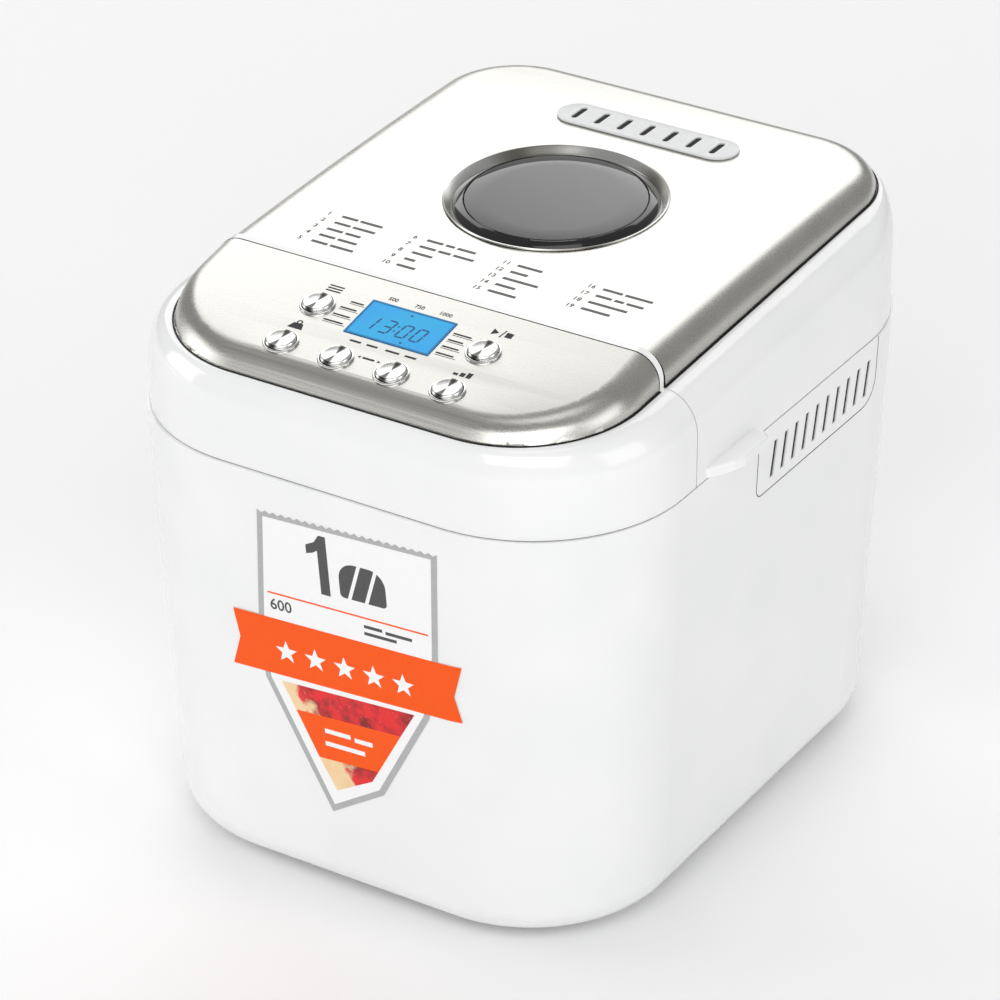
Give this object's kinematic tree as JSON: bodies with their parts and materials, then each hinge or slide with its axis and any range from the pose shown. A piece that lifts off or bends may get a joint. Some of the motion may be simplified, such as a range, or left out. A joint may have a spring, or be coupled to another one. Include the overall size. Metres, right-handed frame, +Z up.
{
  "type": "bread machine",
  "caption": "Countertop bread machine: tapered gloss-white case, brushed-steel control deck and hinged lid with round window, lift-out pan, paddle and belt drive.",
  "frame": {"origin": "on the table, midway between the four feet, under the centre of the case", "axes": "+Z up, -Y out of the front (control side), +X to the right seen from the front"},
  "size_m": [0.258, 0.314, 0.2693],
  "materials": {
    "white_plastic": "gloss white moulded ABS",
    "base_plastic": "satin white moulded polypropylene",
    "rubber": "matt black rubber",
    "brushed_steel": "brushed stainless steel",
    "black_plastic": "gloss black",
    "smoked_glass": "smoked glass",
    "button_metal": "spun metal",
    "bezel_silver": "bright silver",
    "display_blue": "blue backlit display",
    "display_body": "matt",
    "circuit_board": "green solder mask",
    "label_print": "printed adhesive film",
    "chamber_steel": "satin aluminised sheet",
    "zinc_steel": "zinc-plated steel",
    "element_sheath": "oxidised sheath",
    "cast_aluminium": "cast",
    "pan_coating": "dark non-stick coating",
    "bail_wire": "bright wire",
    "motor_body": "painted steel"
  },
  "bodies": {
    "case": {"body_shell": "white_plastic", "control_housing": "white_plastic", "side_vent_left": "white_plastic", "side_vent_right": "white_plastic", "top_deck": "white_plastic", "base_plate": "base_plastic", "cord_gland": "base_plastic", "foot_front_left": "rubber", "foot_front_right": "rubber", "foot_rear_left": "rubber", "foot_rear_right": "rubber", "drive_belt": "rubber", "control_panel": "brushed_steel", "button_bezels": "bezel_silver", "display_lens": "display_blue", "display_module": "display_body", "control_board": "circuit_board", "power_board": "circuit_board", "front_label": "label_print", "oven_chamber": "chamber_steel", "pan_socket": "chamber_steel", "hinge_brackets": "zinc_steel", "hinge_pins": "zinc_steel", "case_screws": "zinc_steel", "motor_bracket": "zinc_steel", "element_clips": "zinc_steel", "heating_element": "element_sheath", "temperature_sensor": "element_sheath", "bearing_housing": "cast_aluminium", "motor": "motor_body", "motor_capacitor": "motor_body"},
    "lid": {"lid_shell": "white_plastic", "lid_skin": "brushed_steel", "lid_liner": "chamber_steel", "inner_window": "smoked_glass", "window_ring": "brushed_steel", "window_frame": "black_plastic", "window_glass": "smoked_glass", "lid_vent": "white_plastic", "lid_screws": "zinc_steel"},
    "pan": {"bread_pan": "pan_coating", "pan_base": "cast_aluminium", "pan_bushing": "cast_aluminium", "bail_ears": "cast_aluminium"},
    "bail": {"bail_handle": "bail_wire"},
    "kneader": {"pan_shaft": "zinc_steel", "pan_coupling": "black_plastic"},
    "paddle": {"kneading_paddle": "pan_coating"},
    "drive": {"drive_shaft": "zinc_steel", "drive_pulley": "black_plastic", "drive_coupling": "black_plastic"},
    "motor_rotor": {"motor_shaft": "zinc_steel", "motor_pulley": "black_plastic"},
    "button_weight": {"button_weight": "button_metal"},
    "button_time_up": {"button_time_up": "button_metal"},
    "button_time_down": {"button_time_down": "button_metal"},
    "button_colour": {"button_colour": "button_metal"},
    "button_menu": {"button_menu": "button_metal"},
    "button_start": {"button_start": "button_metal"}
  },
  "joints": [
    {"name": "lid_hinge", "type": "hinge", "parent": "case", "child": "lid", "pos_m": [0, 0.1555, 0.205], "axis": [-1, 0, 0], "range_deg": [0, 80]},
    {"name": "pan_lift", "type": "slide", "parent": "case", "child": "pan", "axis": [0, 0, 1], "range_m": [0, 0.03]},
    {"name": "bail_swing", "type": "hinge", "parent": "pan", "child": "bail", "pos_m": [0, 0.034, 0.199], "axis": [1, 0, 0], "range_deg": [0, 30]},
    {"name": "drive_spin", "type": "hinge", "parent": "case", "child": "drive", "pos_m": [0, 0.034, 0.022], "axis": [0, 0, 1], "continuous": true},
    {"name": "kneader_spin", "type": "hinge", "parent": "pan", "child": "kneader", "pos_m": [0, 0.034, 0.07], "axis": [0, 0, 1], "continuous": true},
    {"name": "paddle_lift", "type": "slide", "parent": "kneader", "child": "paddle", "axis": [0, 0, 1], "range_m": [0, 0.03]},
    {"name": "motor_spin", "type": "hinge", "parent": "case", "child": "motor_rotor", "pos_m": [0, -0.104, 0.022], "axis": [0, 0, 1], "continuous": true},
    {"name": "button_weight_press", "type": "slide", "parent": "case", "child": "button_weight", "axis": [0, -0.1874, 0.9823], "range_m": [-0.0012, 0], "stiffness_N_per_m": 400, "springref_m": 0.002},
    {"name": "button_time_up_press", "type": "slide", "parent": "case", "child": "button_time_up", "axis": [0, -0.1874, 0.9823], "range_m": [-0.0012, 0], "stiffness_N_per_m": 400, "springref_m": 0.002},
    {"name": "button_time_down_press", "type": "slide", "parent": "case", "child": "button_time_down", "axis": [0, -0.1874, 0.9823], "range_m": [-0.0012, 0], "stiffness_N_per_m": 400, "springref_m": 0.002},
    {"name": "button_colour_press", "type": "slide", "parent": "case", "child": "button_colour", "axis": [0, -0.1874, 0.9823], "range_m": [-0.0012, 0], "stiffness_N_per_m": 400, "springref_m": 0.002},
    {"name": "button_menu_press", "type": "slide", "parent": "case", "child": "button_menu", "axis": [0, -0.1874, 0.9823], "range_m": [-0.0012, 0], "stiffness_N_per_m": 400, "springref_m": 0.002},
    {"name": "button_start_press", "type": "slide", "parent": "case", "child": "button_start", "axis": [0, -0.1874, 0.9823], "range_m": [-0.0012, 0], "stiffness_N_per_m": 400, "springref_m": 0.002}
  ],
  "couplings": [
    {"joint": "kneader_spin", "follows": "drive_spin", "ratio": 1},
    {"joint": "motor_spin", "follows": "drive_spin", "ratio": 4.5}
  ]
}
